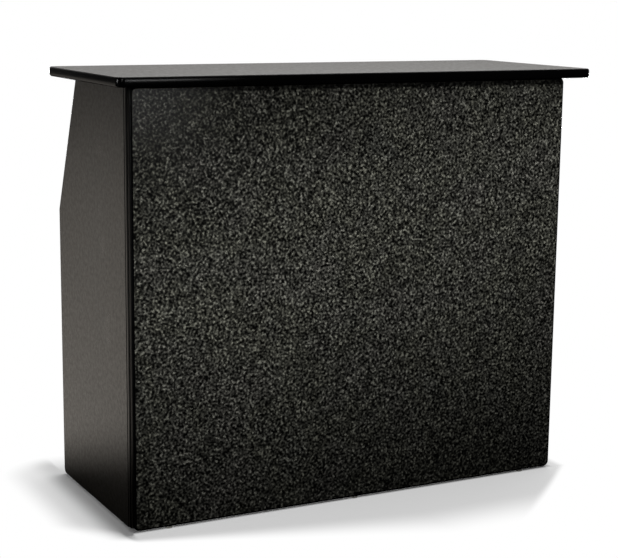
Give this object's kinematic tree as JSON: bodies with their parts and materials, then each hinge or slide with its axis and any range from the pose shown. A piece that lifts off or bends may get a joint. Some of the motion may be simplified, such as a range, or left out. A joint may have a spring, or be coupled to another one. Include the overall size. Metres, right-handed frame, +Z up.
{
  "type": "folding portable bar",
  "caption": "Folding portable bar with a speckled stone-look front, sides that hinge flat behind it, flip-up shelves and an overhanging lift-off counter.",
  "frame": {"origin": "on the floor at the middle of the footprint", "axes": "+X along the counter to the guest's right, +Y towards the bartender, +Z up"},
  "size_m": [1.28, 0.562, 1.067],
  "materials": {
    "granite_laminate": "speckled stone-look decorative laminate, semi-gloss",
    "charcoal_laminate": "plain charcoal decorative laminate, satin",
    "lining_laminate": "plain black backing laminate, fine texture",
    "board": "raw plywood core",
    "shelf_board": "black melamine-faced board",
    "edging": "black moulded edging, semi-gloss",
    "stained_wood": "black-stained hardwood, satin lacquer",
    "steel": "zinc-plated steel",
    "magnet": "nickel-plated magnet",
    "black_plastic": "moulded black plastic",
    "nylon": "moulded nylon"
  },
  "bodies": {
    "front": {"front_core": "board", "front_facing": "granite_laminate", "front_lining": "lining_laminate", "front_edging": "edging", "left_counter_socket": "steel", "right_counter_socket": "steel", "upper_shelf_magnet": "magnet", "lower_shelf_magnet": "magnet", "front_left_glide": "nylon", "front_middle_glide": "nylon", "front_right_glide": "nylon", "left_stile": "stained_wood", "right_stile": "stained_wood", "left_stile_leaf": "steel", "right_stile_leaf": "steel", "left_hinge_pin": "steel", "right_hinge_pin": "steel", "left_fold_magnet": "black_plastic", "right_fold_magnet": "black_plastic", "upper_shelf_wall_leaf": "steel", "lower_shelf_wall_leaf": "steel", "upper_shelf_hinge_pin": "steel", "lower_shelf_hinge_pin": "steel"},
    "left_side": {"left_side_core": "board", "left_side_facing": "charcoal_laminate", "left_side_lining": "lining_laminate", "left_side_edging": "edging", "left_side_leaf": "steel", "left_upper_cleat": "stained_wood", "left_lower_cleat": "stained_wood", "left_fold_strike": "steel", "left_side_front_glide": "nylon", "left_side_rear_glide": "nylon"},
    "right_side": {"right_side_core": "board", "right_side_facing": "charcoal_laminate", "right_side_lining": "lining_laminate", "right_side_edging": "edging", "right_side_leaf": "steel", "right_upper_cleat": "stained_wood", "right_lower_cleat": "stained_wood", "right_fold_strike": "steel", "right_side_front_glide": "nylon", "right_side_rear_glide": "nylon"},
    "upper_shelf": {"upper_shelf_board": "shelf_board", "upper_shelf_nosing": "edging", "upper_shelf_strike": "steel", "upper_shelf_leaf": "steel"},
    "lower_shelf": {"lower_shelf_board": "shelf_board", "lower_shelf_nosing": "edging", "lower_shelf_strike": "steel", "lower_shelf_leaf": "steel"},
    "counter": {"counter_core": "board", "counter_facing": "charcoal_laminate", "counter_lining": "lining_laminate", "counter_edging": "edging", "left_counter_pin": "steel", "right_counter_pin": "steel"}
  },
  "joints": [
    {"name": "left_fold", "type": "hinge", "parent": "front", "child": "left_side", "pos_m": [-0.5697, -0.1905, 0], "axis": [0, 0, -1], "range_deg": [0, 90]},
    {"name": "right_fold", "type": "hinge", "parent": "front", "child": "right_side", "pos_m": [0.5697, -0.1905, 0], "axis": [0, 0, 1], "range_deg": [0, 90]},
    {"name": "upper_shelf_drop", "type": "hinge", "parent": "front", "child": "upper_shelf", "pos_m": [0, -0.2057, 0.6625], "axis": [1, 0, 0], "range_deg": [-90, 0]},
    {"name": "lower_shelf_drop", "type": "hinge", "parent": "front", "child": "lower_shelf", "pos_m": [0, -0.2057, 0.2125], "axis": [1, 0, 0], "range_deg": [-90, 0]},
    {"name": "counter_lift", "type": "slide", "parent": "front", "child": "counter", "axis": [0, 0, 1], "range_m": [0, 0.25]}
  ]
}
